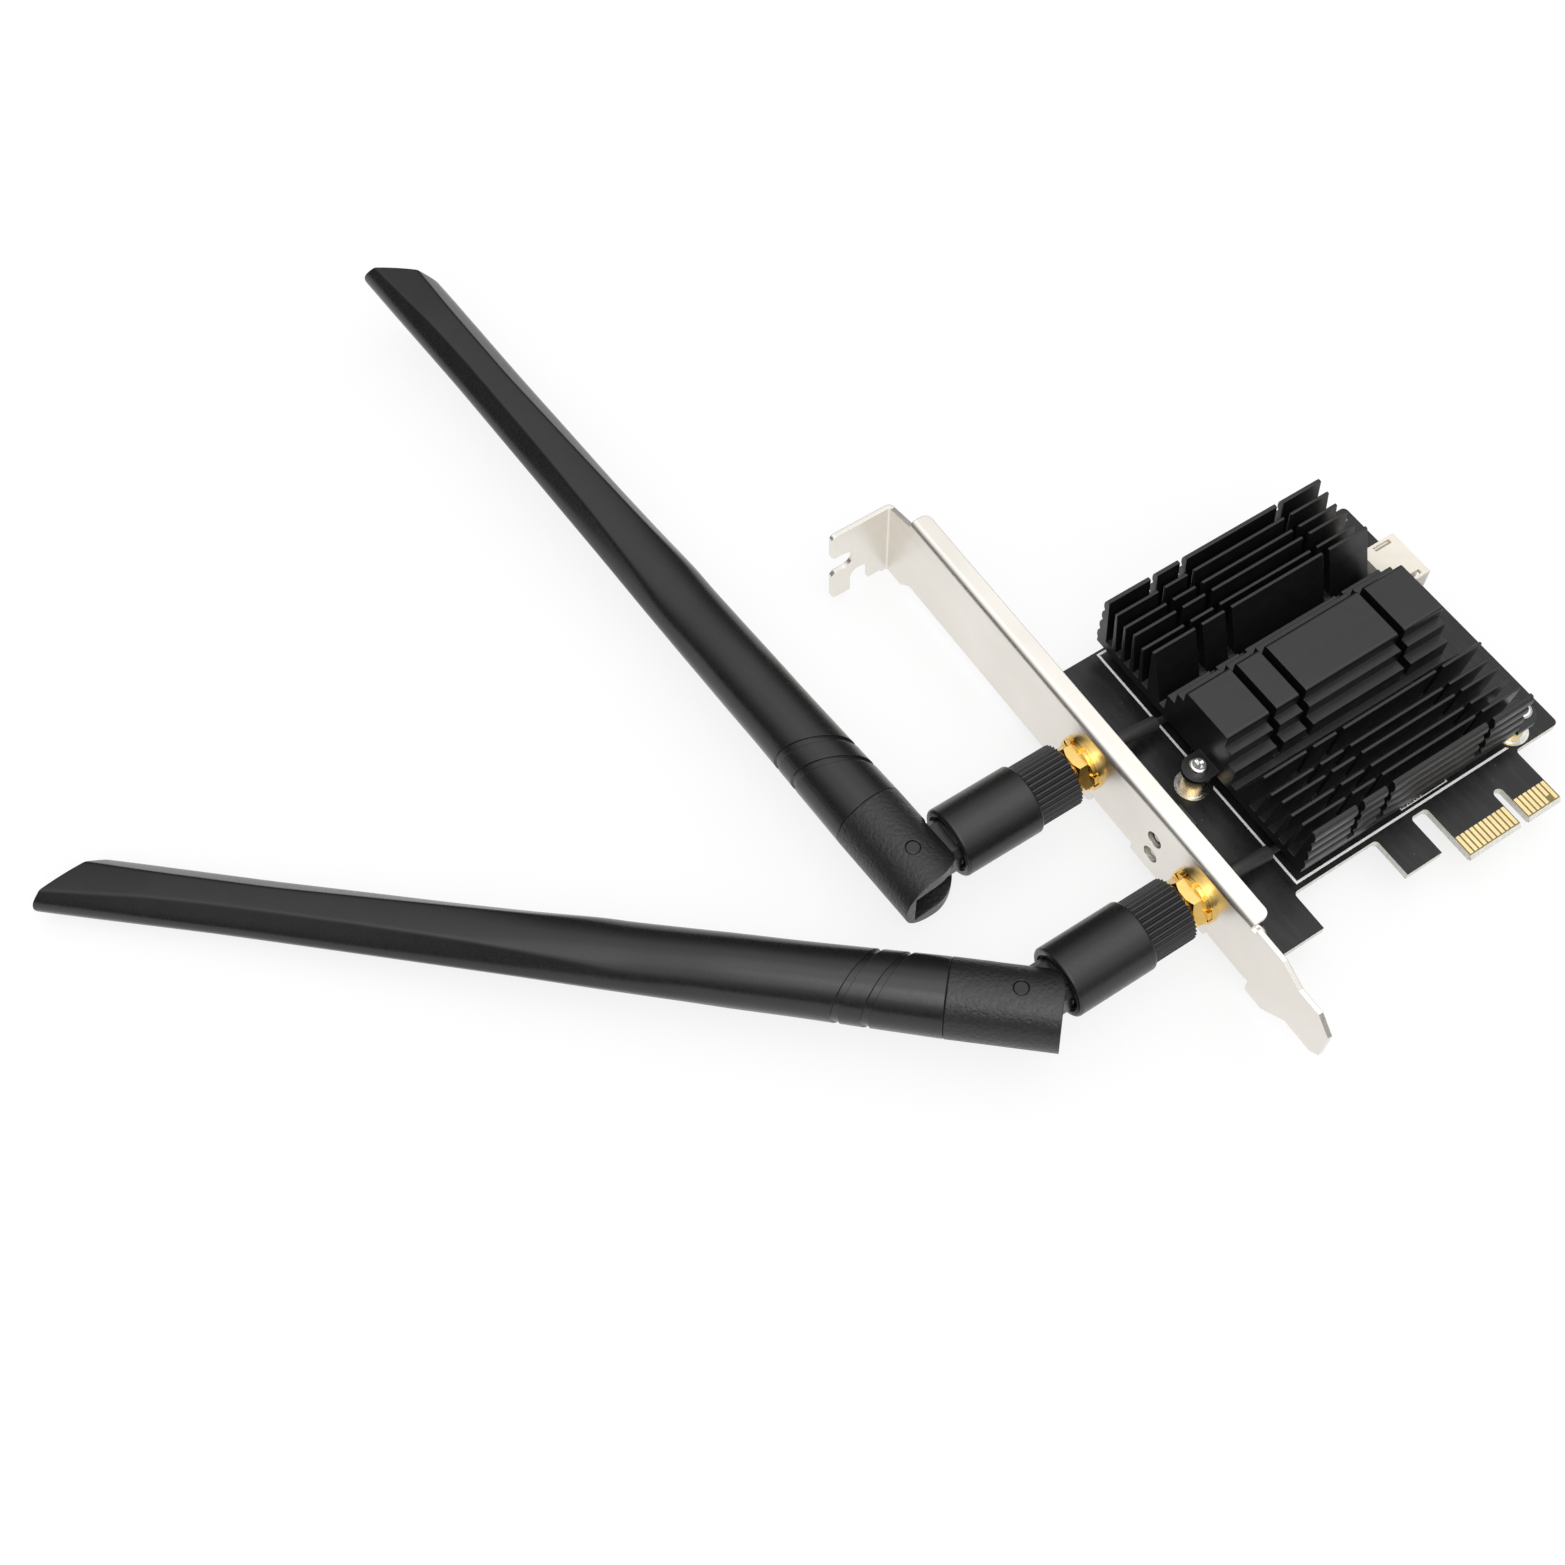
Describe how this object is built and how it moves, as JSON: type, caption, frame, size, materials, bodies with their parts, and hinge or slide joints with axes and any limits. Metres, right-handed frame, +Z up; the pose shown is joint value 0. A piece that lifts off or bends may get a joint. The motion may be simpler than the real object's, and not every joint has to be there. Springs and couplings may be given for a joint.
{
  "type": "pcie wifi card",
  "caption": "Expansion card with a finned heatsink over its radio, a folded slot bracket with coaxial jacks, and flat antennas that swivel and fold at their hinges.",
  "frame": {"origin": "on the bracket's outer face, where the card-edge line meets the component side of the board", "axes": "+X from the bracket into the card, +Y along the bracket towards its screw tab, +Z up from the component side"},
  "size_m": [0.2363, 0.227, 0.0248],
  "materials": {
    "board": "black solder mask, satin",
    "print": "white printed ink",
    "gold": "gold plated",
    "nickel": "nickel-plated sheet, satin",
    "black_aluminium": "black anodised, satin",
    "bright_screw": "bright zinc",
    "brass_post": "bare brass",
    "pad": "soft grey pad",
    "module": "dark solder mask",
    "can": "tinned pressed steel",
    "socket": "black moulded",
    "cream": "cream nylon",
    "tin": "tinned pins",
    "lens": "clear diffused",
    "white_insulator": "white fluoroplastic",
    "lead_black": "black jacket",
    "shrink": "black heat-shrink",
    "antenna_satin": "satin black moulding",
    "antenna_texture": "fine spark texture",
    "radiator_board": "copper-clad strip"
  },
  "bodies": {
    "card": {"circuit_board": "board", "board_print": "print", "header_pads": "tin", "contacts_component_side": "gold", "contacts_solder_side": "gold", "bracket": "nickel", "bracket_screws": "bright_screw", "heatsink": "black_aluminium", "heatsink_standoffs": "brass_post", "heatsink_screws": "bright_screw", "thermal_pad": "pad", "module_board": "module", "module_shield": "can", "module_post": "brass_post", "module_screw": "bright_screw", "m2_socket": "socket", "usb_header": "cream", "usb_header_pins": "tin", "lamp_housing": "socket", "lamp_lenses": "lens", "rf_jacks": "gold", "rf_insulators": "white_insulator", "rf_pins": "gold", "plain_washers": "gold", "lock_washers": "gold", "hex_nuts": "gold", "heat_shrinks": "shrink", "coax_plugs": "gold", "lower_lead": "lead_black", "upper_lead": "lead_black", "lower_base": "antenna_satin", "lower_coupling": "gold", "upper_base": "antenna_satin", "upper_coupling": "gold"},
    "lower_elbow": {"lower_neck": "antenna_satin"},
    "lower_antenna": {"lower_hinge_pin": "antenna_satin", "lower_hinge_cap": "antenna_texture", "lower_blade": "antenna_satin", "lower_radiator": "radiator_board"},
    "upper_elbow": {"upper_neck": "antenna_satin"},
    "upper_antenna": {"upper_hinge_pin": "antenna_satin", "upper_hinge_cap": "antenna_texture", "upper_blade": "antenna_satin", "upper_radiator": "radiator_board"}
  },
  "joints": [
    {"name": "lower_swivel", "type": "hinge", "parent": "card", "child": "lower_elbow", "pos_m": [-0.0352, 0.0184, 0.005], "axis": [1, 0, 0], "range_deg": [-130, 140]},
    {"name": "lower_fold", "type": "hinge", "parent": "lower_elbow", "child": "lower_antenna", "pos_m": [-0.0352, 0.0184, 0.005], "axis": [0, -0.0872, -0.9962], "range_deg": [-42.8, 12.2]},
    {"name": "upper_swivel", "type": "hinge", "parent": "card", "child": "upper_elbow", "pos_m": [-0.0352, 0.0483, 0.005], "axis": [1, 0, 0], "range_deg": [-135, 135]},
    {"name": "upper_fold", "type": "hinge", "parent": "upper_elbow", "child": "upper_antenna", "pos_m": [-0.0352, 0.0483, 0.005], "axis": [0, 0, -1], "range_deg": [-46.2, 3.8]}
  ]
}
